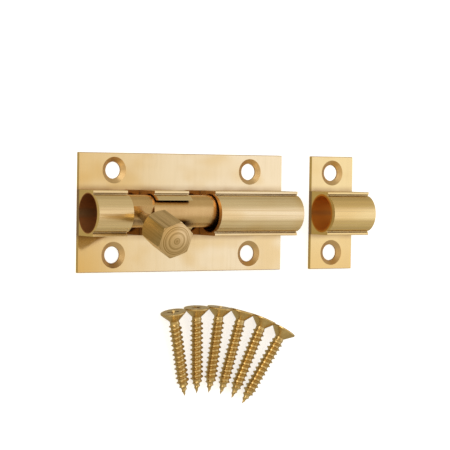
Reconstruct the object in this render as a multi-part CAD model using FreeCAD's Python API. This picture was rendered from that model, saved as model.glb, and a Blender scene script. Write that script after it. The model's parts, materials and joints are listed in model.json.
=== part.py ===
"""Straight barrel bolt in extruded brass, with its keep and six loose wood screws.

Millimetres. The origin is the centre of the bolt plate's back face, which lies on z = 0.
+X points along the throw, towards the keep. +Y points across the plate. +Z points out of
the mounting face. The keep and the loose screws lie on the same plane as the plate.
"""
import FreeCAD, Part
import math
import os

Vec = FreeCAD.Vector
X_AXIS = Vec(1, 0, 0)
Y_AXIS = Vec(0, 1, 0)
Z_AXIS = Vec(0, 0, 1)
REACH = 100.0                      # longer than anything a cutting box has to pass through

# Extruded section, shared by the bolt plate and the keep. Heights are above the plate's face.
PLATE_WIDTH = 25.4
PLATE_THICKNESS = 1.0
PLATE_EDGE = 0.12                  # small bevel along the plate's long front edges
BLOCK_HALF_WIDTH = 4.82
LEDGE_HEIGHT = 6.6
LEDGE_EDGE = 0.18                  # rounding of the ledge's outer corner
CREST_HEIGHT = 9.46
CROWN_RADIUS = 4.12
CROWN_GROOVE_RADIUS = 0.25         # fine groove where the crown meets the ledge

# Bolt plate and barrel
BODY_LENGTH = 50.5
BORE_HEIGHT = 4.2
BORE_RADIUS = 4.1
LEFT_NOTCH = (-17.14, -10.7)
RIGHT_NOTCH = (-2.37, 4.22)
SLOT_HALF_WIDTH = 2.81

# Keep
KEEP_START = 33.35
KEEP_LENGTH = 11.1
KEEP_BORE_HEIGHT = 4.1
KEEP_BORE_RADIUS = 3.9

# Countersunk screw holes
HOLE_SPACING_X = 33.8
HOLE_SPACING_Y = 18.0
HOLE_RADIUS = 1.8
SINK_RADIUS = 2.83
SINK_DEPTH = 0.66

# Bolt rod, which rides a little towards +Y in its oversize bore
ROD_RADIUS = 3.45
ROD_OFFSET_Y = 0.42
ROD_START = -18.6
ROD_END = 24.5
ROD_CHAMFER = 0.35

# Knob: distances are measured out from the rod's axis
KNOB_X = -13.77
KNOB_TILT = 18.0                   # at rest, degrees from straight out towards -Y
KNOB_SEAT = 2.75                   # small flat on the rod that the neck stands on
SEAT_HALF_LENGTH = 2.5
STEM_RADIUS = 0.7
STEM_LENGTH = 4.2                  # reach into the rod, from the seat
STEM_CLEARANCE = 0.02
NECK_RADIUS = 0.8
FLARE_MIDDLE = 6.9
FLARE_MIDDLE_RADIUS = 1.88
FLARE_END = 10.4
FLARE_END_RADIUS = 4.05
HEX_ACROSS_FLATS = 7.0
HEX_TURN = 81.0                    # one corner's angle about the knob's axis
KNOB_END = 18.35
KNOB_DOME_RADIUS = 12.0

# Split spring ring in a groove of the rod: its outside bears on the bore
RING_X = 8.0
RING_WIDTH = 1.6
RING_GROOVE_RADIUS = 2.5
RING_CLEARANCE = 0.04
RING_SPLIT = 1.2

# Wood screws, countersunk and cross-recessed, with the thread as evenly spaced ridges
SCREW_LENGTH = 19.05
SCREW_HEAD_RADIUS = 2.75
SCREW_RIM = 0.28
SCREW_CORE_RADIUS = 1.0
SCREW_THREAD_RADIUS = 1.45
SCREW_PITCH = 25.4 / 24
SCREW_THREAD_START = 2.3
SCREW_POINT_LENGTH = 3.4
SCREW_CREST_HALF_WIDTH = 0.06
SCREW_TURNS = 15
RECESS_DEPTH = 1.6
RECESS_HALF_LENGTH = 1.5
RECESS_FLOOR_HALF_LENGTH = 0.55
RECESS_HALF_WIDTH = 0.28

# The loose screws lie in a fan below the plate, points together
BODY_SCREW_COUNT = 4
KEEP_SCREW_COUNT = 2
FAN_TOP_Y = -20.4                  # the highest head's face
FAN_CENTRE_X = 5.3
FAN_RADIUS = 39.0                  # from the fan's centre to the heads
FAN_FIRST_ANGLE = 12.5
FAN_STEP = -8.7

# Derived values
FACE_Z = PLATE_THICKNESS
BORE_Z = FACE_Z + BORE_HEIGHT
CROWN_CENTRE = CREST_HEIGHT - CROWN_RADIUS
CROWN_HALF_WIDTH = math.sqrt(CROWN_RADIUS**2 - (LEDGE_HEIGHT - CROWN_CENTRE)**2)


def box_between(low, high):
    """Axis-aligned box from its lowest to its highest corner."""
    size = high - low
    return Part.makeBox(size.x, size.y, size.z, low)


def cylinder_x(radius, x_start, x_end, y, z):
    """Cylinder along +X."""
    return Part.makeCylinder(radius, x_end - x_start, Vec(x_start, y, z), X_AXIS)


def arc(first, middle, last):
    """Circular edge through three points."""
    return Part.Arc(first, middle, last).toShape()


def line(first, last):
    """Straight edge."""
    return Part.makeLine(first, last)


def right_half_section(x):
    """Edges of the section's +Y half, from the back face's middle up to the crown's crest."""
    edge_y = PLATE_WIDTH / 2
    ledge_z = FACE_Z + LEDGE_HEIGHT
    slant = LEDGE_EDGE * math.sqrt(0.5)
    crown_middle_y = CROWN_RADIUS * math.sin(math.pi / 6)
    crown_middle_z = FACE_Z + CROWN_CENTRE + CROWN_RADIUS * math.cos(math.pi / 6)
    back = Vec(x, 0, 0)
    back_corner = Vec(x, edge_y, 0)
    edge_low = Vec(x, edge_y, FACE_Z - PLATE_EDGE)
    edge_high = Vec(x, edge_y - PLATE_EDGE, FACE_Z)
    block_foot = Vec(x, BLOCK_HALF_WIDTH, FACE_Z)
    round_low = Vec(x, BLOCK_HALF_WIDTH, ledge_z - LEDGE_EDGE)
    round_middle = Vec(x, BLOCK_HALF_WIDTH - LEDGE_EDGE + slant, ledge_z - LEDGE_EDGE + slant)
    round_high = Vec(x, BLOCK_HALF_WIDTH - LEDGE_EDGE, ledge_z)
    crown_foot = Vec(x, CROWN_HALF_WIDTH, ledge_z)
    crest = Vec(x, 0, FACE_Z + CREST_HEIGHT)
    return [
        line(back, back_corner),
        line(back_corner, edge_low),
        line(edge_low, edge_high),
        line(edge_high, block_foot),
        line(block_foot, round_low),
        arc(round_low, round_middle, round_high),
        line(round_high, crown_foot),
        arc(crown_foot, Vec(x, crown_middle_y, crown_middle_z), crest),
    ]


def extrusion(x_start, x_end, bore_height, bore_radius):
    """A length of the plate-and-barrel section with its bore."""
    right = right_half_section(x_start)
    left = [edge.mirror(Vec(0, 0, 0), Y_AXIS) for edge in right]
    outline = Part.Wire(Part.__sortEdges__(right + left))
    solid = Part.Face(outline).extrude(X_AXIS * (x_end - x_start))
    solid = solid.cut(cylinder_x(bore_radius, x_start, x_end, 0, FACE_Z + bore_height))
    for side in (-1, 1):
        y = side * (CROWN_HALF_WIDTH + CROWN_GROOVE_RADIUS / 2)
        groove = cylinder_x(CROWN_GROOVE_RADIUS, x_start, x_end, y, FACE_Z + LEDGE_HEIGHT)
        solid = solid.cut(groove)
    return solid


def screw_hole(x, y):
    """Countersunk through hole, opening towards +Z."""
    hole = Part.makeCylinder(HOLE_RADIUS, FACE_Z, Vec(x, y, 0), Z_AXIS)
    sink = Part.makeCone(HOLE_RADIUS, SINK_RADIUS, SINK_DEPTH, Vec(x, y, FACE_Z - SINK_DEPTH), Z_AXIS)
    return hole.fuse(sink)


def across_barrel(x_range, half_width, z_start):
    """Cutting box over a stretch of the barrel, open upwards."""
    low = Vec(x_range[0], -half_width, z_start)
    high = Vec(x_range[1], half_width, z_start + REACH)
    return box_between(low, high)


def barrel_body():
    """Plate with its barrel: two notches lock the knob, and a slot joins them."""
    solid = extrusion(-BODY_LENGTH / 2, BODY_LENGTH / 2, BORE_HEIGHT, BORE_RADIUS)
    for notch in (LEFT_NOTCH, RIGHT_NOTCH):
        solid = solid.cut(across_barrel(notch, BLOCK_HALF_WIDTH, FACE_Z))
    slot_range = (LEFT_NOTCH[0], RIGHT_NOTCH[1])
    solid = solid.cut(across_barrel(slot_range, SLOT_HALF_WIDTH, BORE_Z))
    for x_side in (-1, 1):
        for y_side in (-1, 1):
            hole = screw_hole(x_side * HOLE_SPACING_X / 2, y_side * HOLE_SPACING_Y / 2)
            solid = solid.cut(hole)
    return solid


def keep():
    """Short length of the same section, which receives the thrown bolt."""
    solid = extrusion(KEEP_START, KEEP_START + KEEP_LENGTH, KEEP_BORE_HEIGHT, KEEP_BORE_RADIUS)
    for y_side in (-1, 1):
        hole = screw_hole(KEEP_START + KEEP_LENGTH / 2, y_side * HOLE_SPACING_Y / 2)
        solid = solid.cut(hole)
    return solid


def turned_to_rest(shape):
    """Swings a shape built with its knob towards -Y up to the knob's rest angle."""
    turned = shape.copy()
    turned.rotate(Vec(0, ROD_OFFSET_Y, BORE_Z), X_AXIS, KNOB_TILT - 90.0)
    return turned


def bolt_rod():
    """Plain round bolt, chamfered, with the knob's seat and blind hole and the ring's groove."""
    rod = cylinder_x(ROD_RADIUS, ROD_START, ROD_END, ROD_OFFSET_Y, BORE_Z)
    ends = [edge for edge in rod.Edges if isinstance(edge.Curve, Part.Circle)]
    rod = rod.makeChamfer(ROD_CHAMFER, ends)
    groove_start = RING_X - RING_WIDTH / 2 - RING_CLEARANCE
    groove_end = RING_X + RING_WIDTH / 2 + RING_CLEARANCE
    groove = cylinder_x(ROD_RADIUS + 1, groove_start, groove_end, ROD_OFFSET_Y, BORE_Z)
    groove = groove.cut(cylinder_x(RING_GROOVE_RADIUS, groove_start, groove_end, ROD_OFFSET_Y, BORE_Z))
    seat_y = ROD_OFFSET_Y - KNOB_SEAT
    seat_low = Vec(KNOB_X - SEAT_HALF_LENGTH, seat_y - REACH, BORE_Z - REACH)
    seat_high = Vec(KNOB_X + SEAT_HALF_LENGTH, seat_y, BORE_Z + REACH)
    stem_hole = Part.makeCylinder(
        STEM_RADIUS + STEM_CLEARANCE,
        STEM_LENGTH + STEM_CLEARANCE,
        Vec(KNOB_X, seat_y, BORE_Z),
        Y_AXIS,
    )
    return turned_to_rest(rod.cut(groove).cut(box_between(seat_low, seat_high)).cut(stem_hole))


def knob_profile():
    """Half outline of the turned knob: x is the radius and y the distance from the rod's axis."""
    neck_start = KNOB_SEAT + STEM_CLEARANCE
    stem_end = neck_start - STEM_LENGTH
    stem_in = Vec(STEM_RADIUS, stem_end, 0)
    stem_out = Vec(STEM_RADIUS, neck_start, 0)
    neck = Vec(NECK_RADIUS, neck_start, 0)
    flare_middle = Vec(FLARE_MIDDLE_RADIUS, FLARE_MIDDLE, 0)
    flare_end = Vec(FLARE_END_RADIUS, FLARE_END, 0)
    corner = Vec(FLARE_END_RADIUS, KNOB_END, 0)
    return Part.Wire([
        line(Vec(0, stem_end, 0), stem_in),
        line(stem_in, stem_out),
        line(stem_out, neck),
        arc(neck, flare_middle, flare_end),
        line(flare_end, corner),
        line(corner, Vec(0, KNOB_END, 0)),
        line(Vec(0, KNOB_END, 0), Vec(0, stem_end, 0)),
    ])


def hexagonal_bar():
    """Hexagonal bar along +Y, long enough for the whole knob."""
    radius = HEX_ACROSS_FLATS / math.sqrt(3)
    corners = []
    for index in range(7):
        angle = math.radians(HEX_TURN + 60 * index)
        corners.append(Vec(radius * math.cos(angle), -REACH, -radius * math.sin(angle)))
    return Part.Face(Part.makePolygon(corners)).extrude(Y_AXIS * 2 * REACH)


def knob():
    """Turned neck and flare running into a hexagonal grip with a domed end, on a round stem."""
    turned = Part.Face(knob_profile()).revolve(Vec(0, 0, 0), Y_AXIS, 360)
    dome = Part.makeSphere(KNOB_DOME_RADIUS, Vec(0, KNOB_END - KNOB_DOME_RADIUS, 0))
    solid = turned.common(hexagonal_bar()).common(dome)
    solid.rotate(Vec(0, 0, 0), X_AXIS, 180)
    solid.translate(Vec(KNOB_X, ROD_OFFSET_Y, BORE_Z))
    return turned_to_rest(solid)


def friction_ring():
    """Split spring ring, thicker on the -Y side, where it takes up the rod's side play."""
    start = RING_X - RING_WIDTH / 2
    end = RING_X + RING_WIDTH / 2
    outer = cylinder_x(BORE_RADIUS - RING_CLEARANCE, start, end, 0, BORE_Z)
    inner = cylinder_x(RING_GROOVE_RADIUS + RING_CLEARANCE, start, end, ROD_OFFSET_Y, BORE_Z)
    low = Vec(start, 0, BORE_Z - RING_SPLIT / 2)
    split = box_between(low, Vec(end, REACH, BORE_Z + RING_SPLIT / 2))
    return outer.cut(inner).cut(split)


def thread_taper(distance):
    """How much of the full radius is left at a distance from the head: one, then down to zero."""
    return min(1.0, (SCREW_LENGTH - distance) / SCREW_POINT_LENGTH)


def threaded_outline():
    """Saw-toothed side of the threaded shank, from under the head to the point."""
    points = []
    for turn in range(SCREW_TURNS):
        root = SCREW_THREAD_START + turn * SCREW_PITCH
        crest = root + SCREW_PITCH / 2
        points.append(Vec(SCREW_CORE_RADIUS * thread_taper(root), 0, root))
        for side in (-1, 1):
            z = crest + side * SCREW_CREST_HALF_WIDTH
            points.append(Vec(SCREW_THREAD_RADIUS * thread_taper(z), 0, z))
    return points


def screw_blank():
    """Countersunk head and threaded shank along +Z, from the head's flat face at z = 0."""
    cone_end = SCREW_RIM + SCREW_HEAD_RADIUS - SCREW_CORE_RADIUS
    points = [Vec(0, 0, 0), Vec(SCREW_HEAD_RADIUS, 0, 0), Vec(SCREW_HEAD_RADIUS, 0, SCREW_RIM)]
    points.append(Vec(SCREW_CORE_RADIUS, 0, cone_end))
    points += threaded_outline()
    points.append(Vec(0, 0, SCREW_LENGTH))
    outline = Part.makePolygon(points + points[:1])
    return Part.Face(outline).revolve(Vec(0, 0, 0), Z_AXIS, 360)


def cross_recess():
    """Two crossed, tapering slots sunk into the head's flat face."""
    slot = Part.makePolygon([
        Vec(-RECESS_HALF_LENGTH, -RECESS_HALF_WIDTH, 0),
        Vec(RECESS_HALF_LENGTH, -RECESS_HALF_WIDTH, 0),
        Vec(RECESS_FLOOR_HALF_LENGTH, -RECESS_HALF_WIDTH, RECESS_DEPTH),
        Vec(-RECESS_FLOOR_HALF_LENGTH, -RECESS_HALF_WIDTH, RECESS_DEPTH),
        Vec(-RECESS_HALF_LENGTH, -RECESS_HALF_WIDTH, 0),
    ])
    first = Part.Face(slot).extrude(Y_AXIS * 2 * RECESS_HALF_WIDTH)
    second = first.copy()
    second.rotate(Vec(0, 0, 0), Z_AXIS, 90)
    return first.fuse(second)


def wood_screw():
    """One screw along +Z."""
    return screw_blank().cut(cross_recess())


def lying_screw(screw, index):
    """A screw laid on z = 0, resting on its head's rim and on the thread beside its point."""
    rest_length = SCREW_LENGTH - SCREW_POINT_LENGTH - SCREW_RIM
    dip = math.atan((SCREW_HEAD_RADIUS - SCREW_THREAD_RADIUS) / rest_length)
    lift = SCREW_HEAD_RADIUS * math.cos(dip) + SCREW_RIM * math.sin(dip)
    angle = math.radians(FAN_FIRST_ANGLE + FAN_STEP * index)
    lying = screw.copy()
    lying.rotate(Vec(0, 0, 0), X_AXIS, 90)
    lying.rotate(Vec(0, 0, 0), X_AXIS, math.degrees(dip))
    lying.rotate(Vec(0, 0, 0), Z_AXIS, math.degrees(angle))
    x = FAN_CENTRE_X - FAN_RADIUS * math.sin(angle)
    y = FAN_TOP_Y - FAN_RADIUS * (1 - math.cos(angle))
    lying.translate(Vec(x, y, lift))
    return lying


def screw_group(screw, first, count):
    """Neighbouring screws of the fan, as separate solids."""
    return Part.makeCompound([lying_screw(screw, first + index) for index in range(count)])


def main():
    os.makedirs("parts", exist_ok=True)
    screw = wood_screw()
    nodes = {
        "barrel_body": barrel_body(),
        "keep": keep(),
        "bolt_rod": bolt_rod(),
        "knob": knob(),
        "friction_ring": friction_ring(),
        "body_screws": screw_group(screw, 0, BODY_SCREW_COUNT),
        "keep_screws": screw_group(screw, BODY_SCREW_COUNT, KEEP_SCREW_COUNT),
    }
    for name, shape in nodes.items():
        shape.exportStep(f"parts/{name}.step")


main()
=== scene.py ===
"""Looks for the barrel bolt: brass materials, threaded screws, a pale table and studio light."""
import json
import math
from functools import partial
from types import SimpleNamespace

import bmesh
import bpy
import numpy as np
from mathutils import Matrix, Vector


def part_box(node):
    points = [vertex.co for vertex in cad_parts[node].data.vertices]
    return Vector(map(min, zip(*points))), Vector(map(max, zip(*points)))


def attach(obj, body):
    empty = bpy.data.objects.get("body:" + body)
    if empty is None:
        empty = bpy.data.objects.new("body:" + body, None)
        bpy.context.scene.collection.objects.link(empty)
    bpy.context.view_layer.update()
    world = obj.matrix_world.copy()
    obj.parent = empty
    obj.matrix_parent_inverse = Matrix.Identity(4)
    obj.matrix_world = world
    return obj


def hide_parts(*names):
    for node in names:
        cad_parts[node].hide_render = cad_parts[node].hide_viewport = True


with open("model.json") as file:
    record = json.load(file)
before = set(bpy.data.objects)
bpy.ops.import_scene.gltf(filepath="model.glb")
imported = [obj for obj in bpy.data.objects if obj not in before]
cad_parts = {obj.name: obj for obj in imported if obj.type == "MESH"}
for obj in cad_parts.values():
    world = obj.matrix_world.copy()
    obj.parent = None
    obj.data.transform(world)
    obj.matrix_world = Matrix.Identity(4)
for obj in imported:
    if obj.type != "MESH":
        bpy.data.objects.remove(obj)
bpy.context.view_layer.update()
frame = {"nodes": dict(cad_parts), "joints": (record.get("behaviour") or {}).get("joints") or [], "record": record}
MM = 0.001
HAIR = 0.02 * MM                    # keeps two surfaces just apart

# The view: a long lens, to the left of the plate's normal and a little above it, in degrees
VIEW_AZIMUTH = 31.3
VIEW_ELEVATION = 1.7
VIEW_ROLL = 0.85
VIEW_DISTANCE = 427.7 * MM
VIEW_TARGET = Vector((10.7, -2.7, 1.0)) * MM
VIEW_START = 10 * MM                # anything nearer is left out of the picture
LENS = 156.1

# Wood screws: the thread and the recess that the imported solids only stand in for
THREAD_PITCH = 25.4 / 24 * MM
THREAD_START = 2.3 * MM
POINT_LENGTH = 3.4 * MM
CORE_SHARE = 0.68                   # core radius as a share of the crest's
RIDGE_SHARE = 0.62                  # how much of each turn the ridge takes up
RINGS_PER_TURN = 12
CORNERS_PER_RING = 32
SHARP_ANGLE = 38                    # degrees between faces that meet in a crisp edge
CREST_STRETCH = (0.4, 0.7)          # shares of the length between which the crest is measured
HEAD_EDGE = 0.07 * MM
HEAD_RIM = 0.28 * MM
RECESS_DEPTH = 1.6 * MM
RECESS_REACH = 1.5 * MM
RECESS_FLOOR = 0.35                 # reach at the recess's floor, as a share of the mouth's
RECESS_HALF_WIDTH = 0.28 * MM
RECESS_TURNS = (0.0, math.pi / 2)   # of its two crossing slots
CUTTER_ABOVE = 0.5 * MM             # start of the slots' cutter above the head
FIRST_TWIST = 35                    # degrees by which the first screw is rolled on its axis
NEXT_TWIST = 50                     # and each further screw beyond the one before

# Linear colours of the metal, bright, worn and tarnished, and tones of it that stand for painted light and shade
BODY_BRASS = (0.89, 0.695, 0.385)
KEEP_BRASS = (0.88, 0.67, 0.315)
# painted highlight: the paler brass where the plate takes the most light
HIGHLIGHT_BRASS = (0.93, 0.765, 0.49)
DULL_BRASS = (0.66, 0.47, 0.235)
# real stains, and a painted warm light at the plate's lower left
WARM_STAIN_AND_LIGHT = (0.80, 0.54, 0.20)
SAW_CUT = (0.80, 0.56, 0.17)
SINK_CUT = (0.66, 0.45, 0.215)
ROD_BRASS = (0.70, 0.465, 0.205)
ROD_TARNISH = (0.50, 0.30, 0.12)
ROD_SHINE = (0.82, 0.58, 0.28)
KNOB_BRASS = (0.74, 0.52, 0.255)
KNOB_STREAK = (0.38, 0.235, 0.075)
KNOB_SHINE = (0.80, 0.58, 0.30)
# painted shade on the knob's faces turned to the left
KNOB_LEFT_SHADE = (0.30, 0.225, 0.065)
SCREW_BRASS = (0.66, 0.48, 0.20)
SCREW_ROOTS = (0.50, 0.34, 0.13)
BRONZE = (0.45, 0.26, 0.12)
BRONZE_ROOTS = (0.30, 0.17, 0.07)

# Linear colours of oxide and dirt, and of painted shade in hollows, beside the barrel, on the rod, in thread roots
# and under the knob
# oxide in the bore; on the body also painted shade on the saw cuts inside the notches
BODY_OXIDE_AND_SHADE = (0.36, 0.13, 0.032)
KEEP_OXIDE = (0.66, 0.26, 0.022)
FOOT_SHADE = (0.46, 0.29, 0.135)
# dirt and painted shade in the plate's corners
PLATE_GRIME_AND_SHADE = (0.20, 0.095, 0.034)
# painted shade in the screws' thread roots and recess
SCREW_SHADE_BROWN = (0.22, 0.11, 0.035)
# painted shade on the knob's underside near the plate
KNOB_SHADE_BROWN = (0.11, 0.034, 0.006)
# painted shade in the sinks under the knob
SINK_SHADE_BROWN = (0.20, 0.062, 0.012)
# painted shadow in the notches and on the rod; dirt and painted shade in the barrel's groove
SHADE_AND_SOOT = (0.055, 0.022, 0.008)

# Darkening in narrow places, painted shade and on the extrusion partly dirt: how near the walls stand, how open
# the place is where it starts and where it is thickest, and how much of the metal it covers there
PLATE_DIRT_AND_SHADE = (2.2 * MM, 0.68, 0.25, 0.80)
GROOVE_DIRT_AND_SHADE = (0.5 * MM, 0.80, 0.45, 0.85)
SINK_SHADE = (7.0 * MM, 0.70, 0.38, 0.92)
ROD_SHADE = (2.6 * MM, 0.62, 0.22, 0.85)
ROD_SIDE_SHADE = (2.6 * MM, 0.93, 0.78, 0.82)
KNOB_UNDERSIDE_SHADE = (6.0 * MM, 0.45, 0.15, 0.95)
SCREW_ROOT_SHADE = (0.6 * MM, 0.80, 0.25, 0.75)

# Marks over a noise: its values where they start and where they are complete, and how much
# of the metal they cover there
STAINED = (0.46, 0.66, 0.60)
DULL_IN_STREAKS = (0.40, 0.75, 0.22)
DULL_IN_LINES = (0.50, 0.70, 0.40)
ROD_TARNISHED = (0.35, 0.75, 0.40)
ROD_SHINING = (0.40, 0.80, 0.25)
KNOB_STREAKED = (0.43, 0.62, 0.85)
KNOB_SHINING = (0.40, 0.75, 0.30)
DARK_GRAIN = (0.35, 0.75, 0.50)

# Patches over a noise: the same two values, and how much of the coat the gaps still have
FOOT_PATCHES = (0.25, 0.70, 0.45)
GRIME_AND_SHADE_PATCHES = (0.35, 0.60, 0.35)

# How much of the metal a coat over a whole zone covers
PALE_SHARE = 0.60
CORNER_SHARE = 0.90
CUT_SHARE = 0.75
INNER_CUT_SHARE = 0.60
SINK_SHARE = 0.90
BORE_SHARE = 0.95
UNDER_BLOCK_SHARE = 0.80
FOOT_SHARE = 0.75
GRIME_AND_SHADE_OFF_SINKS = 0.50
NECK_SHADE_SHARE = 0.20

# Noise: features per metre, the same in every direction or along X, Y and Z
DRAWN_LINES = (14, 1500, 1500)
BRUSHED_LINES = (1100, 60, 300)
SAW_LINES = (300, 260, 2600)
STAINS = (62, 95, 60)
PLATE_BLOTCHES = 95.0
PLATE_GRAIN = 2600.0
ROD_RINGS = (2600, 40, 40)
ROD_WEAR = (90, 260, 260)
KNOB_LINES = (1500, 1500, 25)
KNOB_RINGS = 2600.0
KNOB_BLOTCHES = 160.0
SCREW_GRAIN = 900.0
FINE_NOISE = {"detail": 4.0, "roughness": 0.65}
NOISE_RANGE = (0.3, 0.8)            # noise values over which the roughness changes
BLOTCH_SHARE = 0.55                 # of the blotches among the plate's streaks

# Roughness: one level, or the brightest and the dullest
PLATE_ROUGHNESS = (0.05, 0.14)
BARREL_ROUGHNESS = (0.20, 0.34)
CUT_ROUGHNESS = 0.42
SINK_ROUGHNESS = 0.36
BORE_ROUGHNESS = 0.6
ROD_ROUGHNESS = (0.22, 0.34)
KNOB_ROUGHNESS = (0.26, 0.42)
NECK_ROUGHNESS = 0.55
SCREW_ROUGHNESS = (0.24, 0.36)
BRONZE_ROUGHNESS = (0.30, 0.42)

# Height of the marks in the metal, and two of the extrusion's marks as shares of it
EXTRUSION_RELIEF = 0.008 * MM
ROD_RELIEF = 0.003 * MM
KNOB_RELIEF = 0.010 * MM
SCREW_RELIEF = 0.006 * MM
BRUSHING_SHARE = 0.30
GRAIN_SHARE = 0.12

# Zones on the parts. A pair runs from where the zone starts to where it is complete.
ZONE_EDGE = 0.3 * MM
EDGE_STRIP = 1.0 * MM               # along the plate's long edge, clear of the barrel
BLOCK_HALF_WIDTH = 4.82 * MM        # of the barrel, on the plate
BLOCK_EDGE = 0.1 * MM
FOOT_WIDTH = 1.5 * MM               # of the shade on the plate beside the barrel
BORE_STAIN = (0.30 * MM, 0.12 * MM)  # outside the bore's wall
SQUARE_ON = (0.85, 0.95)            # cosine of a face's angle to an axis
KNOB_END = (0.80, 0.92)             # the same, for the knob's end face
KNOB_LEFT = (-0.35, -0.75, 0.52)    # a face's direction along X, and the painted shade's share
KNOB_NECK = (5.0 * MM, 8.0 * MM)    # out from the rod's axis, from the neck to the full knob
ROD_LOWER_SIDE = (-0.7 * MM, -1.7 * MM)  # across the plate, from its middle
WARM_LIGHT_LEFT = (0.4, 1.0)           # shares of the way from the middle to the left end, over which the painted warm light grows
PALE_LEFT = 0.7                     # the same, where the painted paler light starts
PALE_RIGHT = 0.4                    # share of the way to the right end, where the painted light is palest

# Table
TABLE_HALF = 3.0
TABLE_GREY = (0.82, 0.82, 0.82)
TABLE_GLOW = 0.64
MIRRORED_TABLE = 0.47
MIRRORED_TABLE_TINT = (1.0, 0.90, 0.66)

# Light. A pair runs between two parts of a direction, or between two strengths.
WHITE = (1.0, 1.0, 1.0)
ROOM_LEVEL = 0.60
ROOM_TINT = (1.0, 0.92, 0.74)
BAND_SIDE = (0.66, 0.30)
BAND_RISE = (0.1, 0.4)
BAND_BRIGHTENING = (0.42, 0.58)
BAND_LEVELS = (0.84, 1.06)
BAND_COOLING = (0.44, 0.505)
BAND_WARM = (1.0, 0.87, 0.66)
BAND_COOL = (1.0, 1.01, 1.12)
KEY_PLACE = Vector((-0.45, 0.42, 0.22))
KEY_SIZE = (0.8, 0.6)
KEY_POWER = 3.0


class Shader:
    """A small helper that adds nodes to one material or world and links them."""

    def __init__(self, owner):
        owner.use_nodes = True
        self.tree = owner.node_tree
        self.tree.nodes.clear()

    def node(self, kind, settings=None, **inputs):
        """Adds a node: settings are its properties, and inputs are values or sockets."""
        node = self.tree.nodes.new(kind)
        for name, value in (settings or {}).items():
            setattr(node, name, value)
        for name, value in inputs.items():
            self.feed(node.inputs[name.replace("_", " ")], value)
        return node

    def feed(self, socket, value):
        """Links a socket to an input, or sets the input's own value."""
        if isinstance(value, bpy.types.NodeSocket):
            self.tree.links.new(value, socket)
        elif socket.type == "RGBA":
            socket.default_value = (*value, 1.0)
        else:
            socket.default_value = value

    def feed_from(self, start, node, *values):
        """Feeds a node's inputs in their order, from the one numbered start."""
        for index, value in enumerate(values, start):
            self.feed(node.inputs[index], value)
        return node

    def math(self, operation, *values):
        """Result of an operation on one or two numbers."""
        node = self.node("ShaderNodeMath", {"operation": operation})
        return self.feed_from(0, node, *values).outputs[0]

    def product(self, first, *others):
        """All the numbers multiplied together."""
        for other in others:
            first = self.math("MULTIPLY", first, other)
        return first

    def rest(self, share):
        """What a share leaves of the whole."""
        return self.math("SUBTRACT", 1.0, share)

    def length(self, first, second):
        """Length of a step with two coordinates."""
        squares = self.math("ADD", self.product(first, first), self.product(second, second))
        return self.math("SQRT", squares)

    def ramp(self, value, low, high, least=0.0, most=1.0):
        """Smooth step from the least at low to the most at high."""
        node = self.node("ShaderNodeMapRange", {"interpolation_type": "SMOOTHSTEP"})
        return self.feed_from(0, node, value, low, high, least, most).outputs[0]

    def cover(self, value, start, complete, most):
        """Share that grows from none at start to the most where it is complete."""
        return self.ramp(value, start, complete, most=most)

    def mix(self, share, first, second):
        """Colour mix."""
        node = self.node("ShaderNodeMix", {"data_type": "RGBA"})
        self.feed(node.inputs[0], share)
        return self.feed_from(6, node, first, second).outputs[2]

    def blend(self, share, first, second):
        """Number mix."""
        node = self.node("ShaderNodeMix")
        self.feed(node.inputs[0], share)
        return self.feed_from(2, node, first, second).outputs[0]

    def coats(self, colour, *coats):
        """A colour under coats of others, each given with the share that it covers."""
        for share, tone in coats:
            colour = self.mix(share, colour, tone)
        return colour

    def place(self):
        """Position on the part, in its own coordinates."""
        return self.node("ShaderNodeTexCoord").outputs["Object"]

    def split(self, vector):
        """The three parts of a vector."""
        return self.node("ShaderNodeSeparateXYZ", Vector=vector).outputs

    def turned(self, vector, angle):
        """A position or a direction turned about the X axis."""
        return self.node("ShaderNodeMapping", Vector=vector, Rotation=(angle, 0, 0)).outputs[0]

    def noise(self, place, scale, detail=3.0, roughness=0.55):
        """Noise over a place, drawn out into streaks where its scale differs per axis."""
        if isinstance(scale, tuple):
            place = self.node("ShaderNodeMapping", Vector=place, Scale=scale).outputs[0]
            scale = 1.0
        inputs = {"Vector": place, "Scale": scale, "Detail": detail, "Roughness": roughness}
        return self.node("ShaderNodeTexNoise", **inputs).outputs["Fac"]

    def dirt_and_shade(self, reach, start, thickest, most):
        """Share of darkening in places that walls within reach close in: painted shade, on the extrusion partly
        dirt.
        """
        occlusion = self.node("ShaderNodeAmbientOcclusion", {"samples": 8}, Distance=reach)
        return self.cover(occlusion.outputs["AO"], start, thickest, most)

    def rubbed(self, marks, levels):
        """Roughness that follows the marks from one level to another."""
        return self.ramp(marks, *NOISE_RANGE, *levels)

    def finish_metal(self, colour, roughness, marks, relief):
        """Ends a material with a metal in which the marks stand out by the relief."""
        bump = self.node("ShaderNodeBump", Strength=1.0, Height=marks, Distance=relief)
        metal = self.node(
            "ShaderNodeBsdfPrincipled",
            Base_Color=colour,
            Metallic=1.0,
            Roughness=roughness,
            Normal=bump.outputs[0],
        )
        self.node("ShaderNodeOutputMaterial", Surface=metal.outputs[0])


def new_material(name):
    """An empty material, and the helper that fills it."""
    material = bpy.data.materials.new(name)
    return material, Shader(material)


def turn_joint():
    """The hinge on which the bolt turns. The knob lies along the plate at its upper limit."""
    return next(joint for joint in frame["joints"] if joint["type"] == "hinge")


def bore_axis():
    """The bore's height and radius: the hinge's own height, and the ring that bears on it."""
    low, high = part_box("friction_ring")
    return turn_joint()["pos_m"][2], (high.z - low.z) / 2


def plate_face(node):
    """Height of the plate's front face, taken along the plate's long edge."""
    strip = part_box(node)[1].y - EDGE_STRIP
    corners = frame["nodes"][node].data.vertices
    return max(corner.co.z for corner in corners if corner.co.y > strip)


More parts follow.
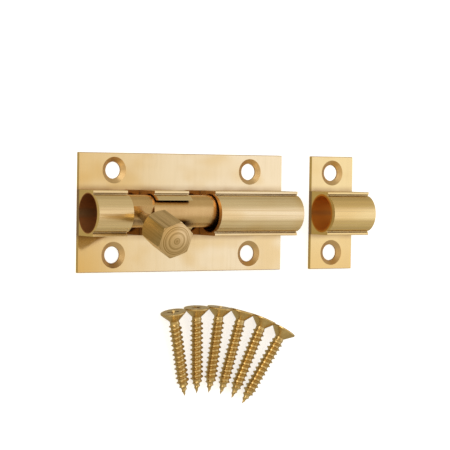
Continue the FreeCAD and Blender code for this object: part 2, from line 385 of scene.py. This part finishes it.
def cut_zones(s, x, low, high):
    """Saw-cut faces, and those of them that don't lie at the extrusion's two ends."""
    normal_x = s.split(s.node("ShaderNodeNewGeometry").outputs["True Normal"])[0]
    cut = s.ramp(s.math("ABSOLUTE", normal_x), *SQUARE_ON)
    left_end = s.ramp(x, low.x + ZONE_EDGE, low.x)
    right_end = s.ramp(x, high.x - ZONE_EDGE, high.x)
    return cut, s.product(cut, s.rest(s.math("MAXIMUM", left_end, right_end)))


def sink_zone(s, z, face_z, cut):
    """Countersinks: surfaces that slope, below the plate's face."""
    normal_z = s.split(s.node("ShaderNodeNewGeometry").outputs["True Normal"])[2]
    sloping = s.rest(s.ramp(s.math("ABSOLUTE", normal_z), *SQUARE_ON))
    return s.product(sloping, s.math("LESS_THAN", z, face_z - HAIR), s.rest(cut))


def bore_zone(s, y, z):
    """The bore's wall, and the metal just outside it."""
    height, radius = bore_axis()
    outside, inside = (radius + distance for distance in BORE_STAIN)
    return s.ramp(s.length(s.math("SUBTRACT", z, height), y), outside, inside)


def extrusion_zones(s, node):
    """Zones of the extrusion's surface that look different, each as a share."""
    x, y, z = s.split(s.place())
    low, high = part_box(node)
    face_z = plate_face(node)
    plate = s.ramp(z, face_z + ZONE_EDGE, face_z)
    cut, inner_cut = cut_zones(s, x, low, high)
    aside = s.math("ABSOLUTE", y)
    under_block = s.ramp(aside, BLOCK_HALF_WIDTH + BLOCK_EDGE, BLOCK_HALF_WIDTH)
    beside_block = s.ramp(aside, BLOCK_HALF_WIDTH + FOOT_WIDTH, BLOCK_HALF_WIDTH)
    leftward = s.ramp(x, *(low.x * share for share in WARM_LIGHT_LEFT))
    return SimpleNamespace(
        plate=plate,
        barrel=s.rest(plate),
        cut=cut,
        inner_cut=inner_cut,
        sink=sink_zone(s, z, face_z, cut),
        bore=bore_zone(s, y, z),
        under_block=s.product(plate, under_block),
        foot=s.product(plate, beside_block),
        # painted warm light at the lower left
        lower_left=s.product(leftward, s.ramp(y, 0.0, low.y)),
        # painted paler light to the right
        rightward=s.ramp(x, low.x * PALE_LEFT, high.x * PALE_RIGHT),
    )


def extrusion_marks(s, zones):
    """Marks that drawing, brushing, sawing and use have left on the extrusion."""
    place = s.place()
    along = s.noise(place, DRAWN_LINES, **FINE_NOISE)
    across = s.noise(place, BRUSHED_LINES, **FINE_NOISE)
    blotch = s.noise(place, PLATE_BLOTCHES)
    return SimpleNamespace(
        along=along,
        across=across,
        blotch=blotch,
        streak=s.blend(zones.plate, along, s.blend(BLOTCH_SHARE, across, blotch)),
        stain=s.noise(place, STAINS, detail=2.0),
        grain=s.noise(place, PLATE_GRAIN, detail=2.0),
        saw=s.noise(place, SAW_LINES),
    )


def stained_and_lit(s, zones, marks, colour):
    """The extrusion's metal: painted paler light to the right, painted warm light at the lower left, real stains,
    dull in streaks.
    """
    # painted warm light at the lower left, merged with the real stains
    warm_light_in_corner = s.product(zones.lower_left, CORNER_SHARE)
    stain = s.math("MAXIMUM", s.cover(marks.stain, *STAINED), warm_light_in_corner)
    dull_lines = s.product(zones.barrel, s.cover(marks.along, *DULL_IN_LINES))
    return s.coats(
        colour,
        # painted paler light to the right
        (s.product(zones.rightward, PALE_SHARE), HIGHLIGHT_BRASS),
        (stain, WARM_STAIN_AND_LIGHT),
        (s.cover(marks.streak, *DULL_IN_STREAKS), DULL_BRASS),
        (dull_lines, DULL_BRASS),
    )


def machined(s, zones, colour, oxide_and_shade):
    """The extrusion's colour with its saw cuts, its sinks and its browned bore, and painted shade on the cuts
    inside the notches.
    """
    return s.coats(
        colour,
        (s.product(zones.cut, CUT_SHARE), SAW_CUT),
        # painted shade: the saw cuts inside the notches darkened towards the oxide
        (s.product(zones.inner_cut, INNER_CUT_SHARE), oxide_and_shade),
        (s.product(zones.sink, SINK_SHARE), SINK_CUT),
        (s.product(zones.bore, BORE_SHARE), oxide_and_shade),
    )


def shaded_and_soiled(s, zones, marks, colour):
    """The extrusion's colour with painted shadow in the notches and beside the barrel's foot, dirt and painted
    shade in its corners and grooves, and painted shade in the sinks under the knob.
    """
    # painted shade on the plate beside the barrel's foot
    foot = s.product(zones.foot, FOOT_SHARE, s.ramp(marks.blotch, *FOOT_PATCHES))
    off_sinks = s.rest(s.product(zones.sink, GRIME_AND_SHADE_OFF_SINKS))
    # dirt and painted shade in the plate's corners, in patches
    grime_and_shade = s.product(s.dirt_and_shade(*PLATE_DIRT_AND_SHADE), s.ramp(marks.blotch, *GRIME_AND_SHADE_PATCHES), off_sinks)
    return s.coats(
        colour,
        # painted shadow on the notch floors under the barrel
        (s.product(zones.under_block, UNDER_BLOCK_SHARE), SHADE_AND_SOOT),
        (foot, FOOT_SHADE),
        (grime_and_shade, PLATE_GRIME_AND_SHADE),
        # dirt and painted shade in the barrel's groove and tight corners
        (s.product(s.dirt_and_shade(*GROOVE_DIRT_AND_SHADE), zones.barrel), SHADE_AND_SOOT),
        # painted shade in the sinks under the knob, standing for the knob's dark reflection
        (s.product(s.dirt_and_shade(*SINK_SHADE), zones.sink), SINK_SHADE_BROWN),
    )


def extrusion_roughness(s, zones, marks):
    """Mirror-bright plate and satin barrel, with duller cuts, sinks and bore."""
    on_barrel = s.rubbed(marks.along, BARREL_ROUGHNESS)
    rough = s.blend(zones.plate, on_barrel, s.rubbed(marks.streak, PLATE_ROUGHNESS))
    rough = s.blend(zones.cut, rough, CUT_ROUGHNESS)
    rough = s.blend(zones.sink, rough, SINK_ROUGHNESS)
    return s.blend(zones.bore, rough, BORE_ROUGHNESS)


def extrusion_relief(s, zones, marks):
    """Drawn lines on the barrel, faint brushing on the plate, saw marks on the cuts."""
    lines = s.blend(zones.plate, marks.along, s.product(marks.across, BRUSHING_SHARE))
    lines = s.blend(zones.cut, lines, marks.saw)
    return s.math("ADD", lines, s.product(marks.grain, GRAIN_SHARE))


def extruded_brass(name, node, base, oxide_and_shade):
    """Plate and barrel in one extrusion."""
    material, s = new_material(name)
    zones = extrusion_zones(s, node)
    marks = extrusion_marks(s, zones)
    colour = stained_and_lit(s, zones, marks, base)
    colour = machined(s, zones, colour, oxide_and_shade)
    colour = shaded_and_soiled(s, zones, marks, colour)
    relief = extrusion_relief(s, zones, marks)
    s.finish_metal(colour, extrusion_roughness(s, zones, marks), relief, EXTRUSION_RELIEF)
    return material


def rod_brass():
    """Satin bar with faint rings from turning, a little tarnish, and painted shadow near other parts."""
    material, s = new_material("rod_brass")
    rings = s.noise(s.place(), ROD_RINGS, roughness=0.6)
    wear = s.noise(s.place(), ROD_WEAR)
    across_plate = s.split(s.node("ShaderNodeNewGeometry").outputs["Position"])[1]
    lower_side = s.ramp(across_plate, *ROD_LOWER_SIDE)
    colour = s.coats(
        ROD_BRASS,
        (s.cover(wear, *ROD_TARNISHED), ROD_TARNISH),
        (s.cover(rings, *ROD_SHINING), ROD_SHINE),
        # painted shadow beside the tabs, and a painted dark patch on the rod's lower side
        (s.dirt_and_shade(*ROD_SHADE), SHADE_AND_SOOT),
        (s.product(s.dirt_and_shade(*ROD_SIDE_SHADE), lower_side), SHADE_AND_SOOT),
    )
    s.finish_metal(colour, s.rubbed(wear, ROD_ROUGHNESS), rings, ROD_RELIEF)
    return material


def knob_coordinates(s):
    """Position and direction on the knob, with Z pointing out along the knob's own axis."""
    low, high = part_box("knob")
    hinge = turn_joint()
    foot = ((low.x + high.x) / 2, *hinge["pos_m"][1:])
    lean = math.radians(90 - hinge["range_deg"][1])
    texture = s.node("ShaderNodeTexCoord").outputs
    step = s.node("ShaderNodeVectorMath", {"operation": "SUBTRACT"})
    s.feed_from(0, step, texture["Object"], foot)
    return s.turned(step.outputs[0], -lean), s.turned(texture["Normal"], -lean)


def knob_brass():
    """Brass with streaks along the knob's own axis and rings on its end face, painted shade on its left faces and
    where it lies near the plate, and a neck browned a little by that shade.
    """
    material, s = new_material("knob_brass")
    place, direction = knob_coordinates(s)
    x, y, out = s.split(place)
    facing_x, _, facing_out = s.split(direction)
    end_face = s.ramp(s.math("ABSOLUTE", facing_out), *KNOB_END)
    past_neck = s.ramp(out, *KNOB_NECK)

    streaks = s.noise(place, KNOB_LINES, **FINE_NOISE)
    from_axis = {"W": s.length(x, y), "Scale": KNOB_RINGS}
    rings = s.node("ShaderNodeTexNoise", {"noise_dimensions": "1D"}, **from_axis).outputs["Fac"]
    marks = s.blend(end_face, streaks, rings)
    blotch = s.noise(s.place(), KNOB_BLOTCHES)
    less_on_neck = s.ramp(past_neck, 0.0, 1.0, least=NECK_SHADE_SHARE)
    colour = s.coats(
        KNOB_BRASS,
        (s.cover(marks, *KNOB_STREAKED), KNOB_STREAK),
        (s.cover(blotch, *KNOB_SHINING), KNOB_SHINE),
        # painted shade on the faces turned to the left
        (s.cover(facing_x, *KNOB_LEFT), KNOB_LEFT_SHADE),
        # painted shade on the underside that lies near the plate, less on the neck
        (s.product(s.dirt_and_shade(*KNOB_UNDERSIDE_SHADE), less_on_neck), KNOB_SHADE_BROWN),
    )
    roughness = s.blend(past_neck, NECK_ROUGHNESS, s.rubbed(marks, KNOB_ROUGHNESS))
    s.finish_metal(colour, roughness, marks, KNOB_RELIEF)
    return material


def plain_metal(name, base, roots, roughness):
    """Bright small parts: fine grain, with painted shade darkening the roots and tight corners."""
    material, s = new_material(name)
    grain = s.noise(s.place(), SCREW_GRAIN)
    colour = s.coats(
        base,
        (s.cover(grain, *DARK_GRAIN), roots),
        # painted shade in the thread roots, the recesses and other tight corners
        (s.dirt_and_shade(*SCREW_ROOT_SHADE), SCREW_SHADE_BROWN),
    )
    s.finish_metal(colour, s.rubbed(grain, roughness), grain, SCREW_RELIEF)
    return material


def paint(materials):
    """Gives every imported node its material."""
    for part in frame["record"]["subparts"]:
        slots = frame["nodes"][part["node"]].data.materials
        slots.clear()
        slots.append(materials[part["material_slot"]])


def body_with(node):
    """Name of the moving body that holds a CAD node."""
    bodies = frame["record"]["behaviour"]["bodies"]
    return next(body for body, members in bodies.items() if node in members)


def islands(mesh):
    """The corner positions of each separate solid in a mesh, whose faces may not share corners."""
    weld = 0.001 * MM
    parent = list(range(len(mesh.vertices)))
    first_at = {}
    for vertex in mesh.vertices:
        spot = tuple(round(value / weld) for value in vertex.co)
        parent[vertex.index] = first_at.setdefault(spot, vertex.index)

    def root(index):
        while parent[index] != index:
            parent[index] = parent[parent[index]]
            index = parent[index]
        return index

    for edge in mesh.edges:
        first, second = (root(index) for index in edge.vertices)
        parent[max(first, second)] = min(first, second)
    groups = {}
    for vertex in mesh.vertices:
        groups.setdefault(root(vertex.index), []).append(vertex.co)
    return [np.array(groups[key]) for key in sorted(groups)]


def screw_pose(points):
    """Where one solid screw lies: its head's centre, its direction, its length and its radii."""
    centre = points.mean(0)
    direction = np.linalg.svd(points - centre, full_matrices=False)[2][0]
    along = (points - centre) @ direction
    radial = np.linalg.norm(points - centre - np.outer(along, direction), axis=1)
    if along[radial.argmax()] > 0:
        direction = -direction
        along = -along
    length = along.max() - along.min()
    first, last = (along.min() + share * length for share in CREST_STRETCH)
    shank = (along > first) & (along < last)
    head = centre + direction * along.min()
    return Vector(head), Vector(direction), length, radial.max(), radial[shank].max()


def thread_radius(distance, angle, length, crest):
    """Radius of the threaded shank at a distance from the head and an angle round it."""
    core = crest * CORE_SHARE
    phase = (distance / THREAD_PITCH - angle / (2 * math.pi)) % 1.0
    ridge = max(0.0, 1.0 - abs(2 * phase - 1) / RIDGE_SHARE)
    fade = min(1.0, max(0.0, (distance - THREAD_START) / THREAD_PITCH))
    taper = min(1.0, (length - distance) / POINT_LENGTH)
    return taper * (core + (crest - core) * ridge * fade)


def screw_rings(length, head_radius, crest):
    """Distances along the screw, each with its radius as a function of the angle."""
    core = crest * CORE_SHARE
    neck = HEAD_RIM + head_radius - core
    rings = [
        (0.0, lambda angle: head_radius - HEAD_EDGE),
        (HEAD_EDGE, lambda angle: head_radius),
        (HEAD_RIM, lambda angle: head_radius),
        (neck, lambda angle: core),
    ]
    step = THREAD_PITCH / RINGS_PER_TURN
    for index in range(1, int((length - neck) / step)):
        distance = neck + index * step
        rings.append((distance, partial(thread_radius, distance, length=length, crest=crest)))
    return rings


def ring_corners(shape, distance, radius):
    """Adds a ring of corners to a shape, at a distance from the head."""
    corners = []
    for index in range(CORNERS_PER_RING):
        angle = 2 * math.pi * index / CORNERS_PER_RING
        reach = radius(angle)
        corner = (reach * math.cos(angle), reach * math.sin(angle), distance)
        corners.append(shape.verts.new(corner))
    return corners


def sides(ring):
    """Each corner of a ring with the one after it."""
    return list(zip(ring, ring[1:] + ring[:1]))


def screw_blank(length, head_radius, crest):
    """Screw mesh along +Z from its head's flat face, with a helical thread down to its point."""
    shape = bmesh.new()
    centre = shape.verts.new((0, 0, 0))
    rings = [sides(ring_corners(shape, *ring)) for ring in screw_rings(length, head_radius, crest)]
    point = shape.verts.new((0, 0, length))
    for corner, after in rings[0]:
        shape.faces.new((centre, after, corner))
    for upper, lower in zip(rings, rings[1:]):
        for (corner, after), (below, below_after) in zip(upper, lower):
            shape.faces.new((corner, after, below_after, below))
    for corner, after in rings[-1]:
        shape.faces.new((corner, after, point))
    mesh = bpy.data.meshes.new("wood_screw")
    shape.to_mesh(mesh)
    shape.free()
    return mesh


def add_object(name, data):
    """A new object in the scene."""
    item = bpy.data.objects.new(name, data)
    bpy.context.scene.collection.objects.link(item)
    return item


def recess_cutter(turn):
    """One tapering slot of the cross recess, open above the head."""
    mouth = (-CUTTER_ABOVE, RECESS_REACH)
    floor = (RECESS_DEPTH, RECESS_REACH * RECESS_FLOOR)
    corners = []
    for depth, reach in (mouth, floor):
        for aside in (-RECESS_HALF_WIDTH, RECESS_HALF_WIDTH):
            corners += [(-reach, aside, depth), (reach, aside, depth)]
    faces = [(0, 2, 3, 1), (4, 5, 7, 6), (0, 1, 5, 4), (2, 6, 7, 3), (0, 4, 6, 2), (1, 3, 7, 5)]
    mesh = bpy.data.meshes.new("recess")
    mesh.from_pydata(corners, [], faces)
    mesh.transform(Matrix.Rotation(turn, 4, "Z"))
    return add_object("recess", mesh)


def screw_mesh(length, head_radius, crest, material):
    """Finished screw mesh with its cross recess cut in."""
    draft = add_object("draft", screw_blank(length, head_radius, crest))
    cutters = [recess_cutter(turn) for turn in RECESS_TURNS]
    for cutter in cutters:
        cut = draft.modifiers.new("recess", "BOOLEAN")
        cut.operation = "DIFFERENCE"
        cut.solver = "EXACT"
        cut.object = cutter
    bpy.context.view_layer.update()
    graph = bpy.context.evaluated_depsgraph_get()
    finished = bpy.data.meshes.new_from_object(draft.evaluated_get(graph))
    for item in (draft, *cutters):
        bpy.data.objects.remove(item)
    finished.polygons.foreach_set("use_smooth", [True] * len(finished.polygons))
    finished.set_sharp_from_angle(angle=math.radians(SHARP_ANGLE))
    finished.materials.clear()
    finished.materials.append(material)
    return finished


def threaded_screws(node, material):
    """Screws with a helical thread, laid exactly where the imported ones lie."""
    for index, points in enumerate(islands(frame["nodes"][node].data)):
        head, direction, length, head_radius, crest = screw_pose(points)
        mesh = screw_mesh(length, head_radius, crest, material)
        twist = Matrix.Rotation(math.radians(FIRST_TWIST + NEXT_TWIST * index), 4, "Z")
        aim = direction.to_track_quat("Z", "Y").to_matrix().to_4x4()
        mesh.transform(Matrix.Translation(head) @ aim @ twist)
        piece = add_object(f"{node}_{index + 1}", mesh)
        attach(piece, body_with(node))
        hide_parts(node)


def table_material():
    """Pale paper, which metal sees darker and warmer than the camera does."""
    material, s = new_material("table")
    paper = s.node("ShaderNodeBsdfDiffuse", Color=TABLE_GREY)
    glow = s.node("ShaderNodeEmission", Color=WHITE, Strength=TABLE_GLOW)
    seen = s.feed_from(0, s.node("ShaderNodeAddShader"), paper.outputs[0], glow.outputs[0])
    mirrored = s.node("ShaderNodeEmission", Color=MIRRORED_TABLE_TINT, Strength=MIRRORED_TABLE)
    from_metal = s.node("ShaderNodeLightPath").outputs["Is Glossy Ray"]
    choice = s.node("ShaderNodeMixShader", Fac=from_metal)
    s.feed_from(1, choice, seen.outputs[0], mirrored.outputs[0])
    s.node("ShaderNodeOutputMaterial", Surface=choice.outputs[0])
    return material


def table():
    """The table on which the bolt and its screws lie, a hair below them."""
    signs = ((-1, -1), (1, -1), (1, 1), (-1, 1))
    corners = [(TABLE_HALF * x, TABLE_HALF * y, -HAIR) for x, y in signs]
    mesh = bpy.data.meshes.new("table")
    mesh.from_pydata(corners, [], [(0, 1, 2, 3)])
    mesh.materials.append(table_material())
    add_object("table", mesh)


def room():
    """Dim room with a band of light overhead, along the barrel. The camera sees it white."""
    world = bpy.data.worlds.new("studio")
    bpy.context.scene.world = world
    s = Shader(world)
    x, y, z = s.split(s.node("ShaderNodeTexCoord").outputs["Generated"])
    to_camera = s.node("ShaderNodeLightPath").outputs["Is Camera Ray"]
    band = s.product(s.ramp(s.math("ABSOLUTE", y), *BAND_SIDE), s.ramp(z, *BAND_RISE))
    level = s.blend(band, ROOM_LEVEL, s.ramp(x, *BAND_BRIGHTENING, *BAND_LEVELS))
    tint = s.mix(band, ROOM_TINT, s.mix(s.ramp(x, *BAND_COOLING), BAND_WARM, BAND_COOL))
    seen_tint = s.mix(to_camera, tint, WHITE)
    seen_level = s.blend(to_camera, level, 1.0)
    background = s.node("ShaderNodeBackground", Color=seen_tint, Strength=seen_level)
    s.node("ShaderNodeOutputWorld", Surface=background.outputs[0])


def key_light():
    """One soft, low light from the upper left, aimed at the plate's centre."""
    light = bpy.data.lights.new("key", "AREA")
    light.shape = "RECTANGLE"
    light.size, light.size_y = KEY_SIZE
    light.energy = KEY_POWER
    key = add_object("key", light)
    key.location = KEY_PLACE
    key.rotation_euler = (-KEY_PLACE).to_track_quat("-Z", "Y").to_euler()


def camera():
    """Long-lens camera over the bolt, with +Y up in the picture."""
    azimuth = math.radians(VIEW_AZIMUTH)
    elevation = math.radians(VIEW_ELEVATION)
    back = Vector((
        -math.sin(azimuth) * math.cos(elevation),
        math.sin(elevation),
        math.cos(azimuth) * math.cos(elevation),
    ))
    right = Vector((0, 1, 0)).cross(back).normalized()
    up = back.cross(right)
    roll = Matrix.Rotation(math.radians(VIEW_ROLL), 3, "Z")
    turn = Matrix((right, up, back)).transposed() @ roll
    data = bpy.data.cameras.new("camera")
    data.lens = LENS
    data.clip_start = VIEW_START
    eye = add_object("camera", data)
    eye.matrix_world = Matrix.Translation(VIEW_TARGET + back * VIEW_DISTANCE) @ turn.to_4x4()
    bpy.context.scene.camera = eye


MATERIALS = {
    "extruded_brass": extruded_brass("extruded_brass", "barrel_body", BODY_BRASS, BODY_OXIDE_AND_SHADE),
    "keep_brass": extruded_brass("keep_brass", "keep", KEEP_BRASS, KEEP_OXIDE),
    "rod_brass": rod_brass(),
    "knob_brass": knob_brass(),
    "spring_bronze": plain_metal("spring_bronze", BRONZE, BRONZE_ROOTS, BRONZE_ROUGHNESS),
    "screw_brass": plain_metal("screw_brass", SCREW_BRASS, SCREW_ROOTS, SCREW_ROUGHNESS),
}
paint(MATERIALS)
for screws in ("body_screws", "keep_screws"):
    threaded_screws(screws, MATERIALS["screw_brass"])
table()
room()
key_light()
camera()
bpy.context.scene.view_settings.view_transform = "Standard"
